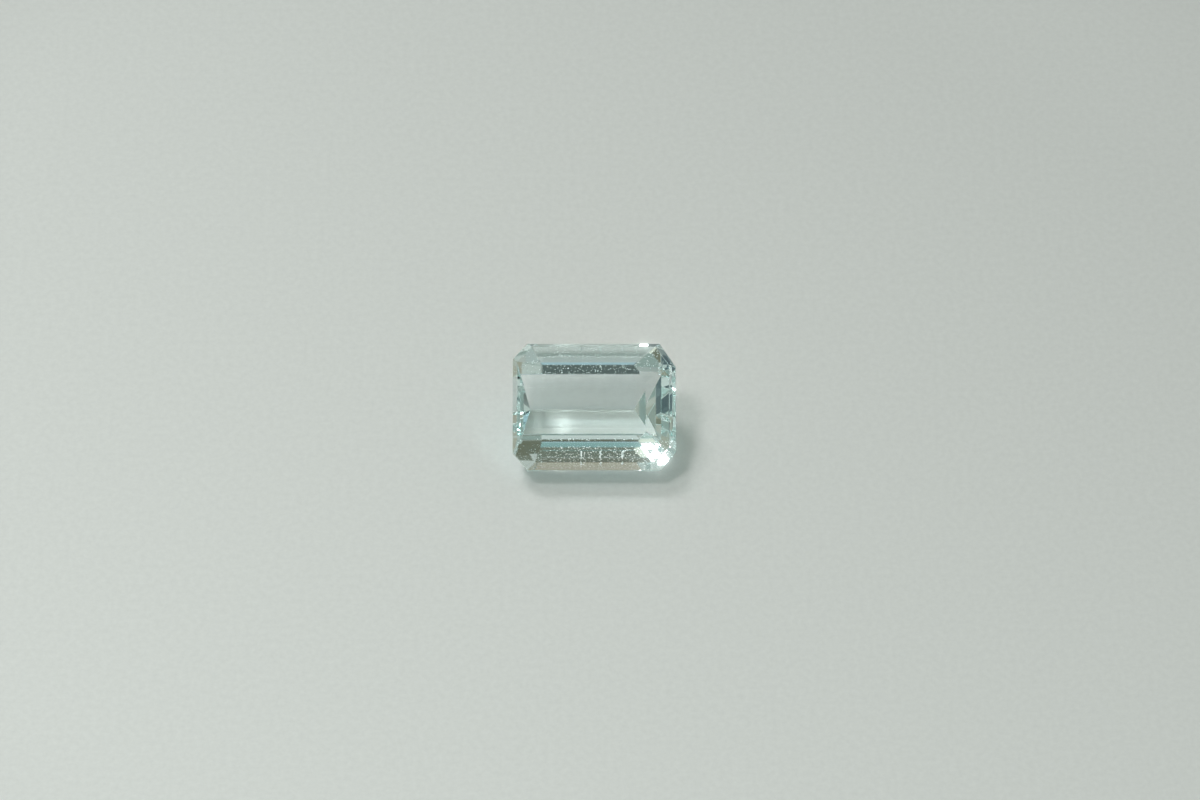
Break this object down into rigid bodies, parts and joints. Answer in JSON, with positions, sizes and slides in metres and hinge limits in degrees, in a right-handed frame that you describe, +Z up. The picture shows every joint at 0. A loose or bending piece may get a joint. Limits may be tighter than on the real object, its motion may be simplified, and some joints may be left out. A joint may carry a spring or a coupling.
{
  "type": "cut aquamarine gemstone",
  "caption": "Loose clear aquamarine, step cut with clipped corners, lying tipped on its keel facet with the table leaning forward.",
  "frame": {"origin": "on the surface the stone rests on, below the middle of the stone's box", "axes": "+X along the stone's long sides, +Z up, +Y towards the raised side; the table leans towards -Y"},
  "size_m": [0.009, 0.0066, 0.0046],
  "materials": {
    "aquamarine": "clear beryl, very pale blue-green, polished flat facets, refractive index about 1.577"
  },
  "bodies": {
    "root": {"cut_aquamarine": "aquamarine"}
  },
  "joints": []
}
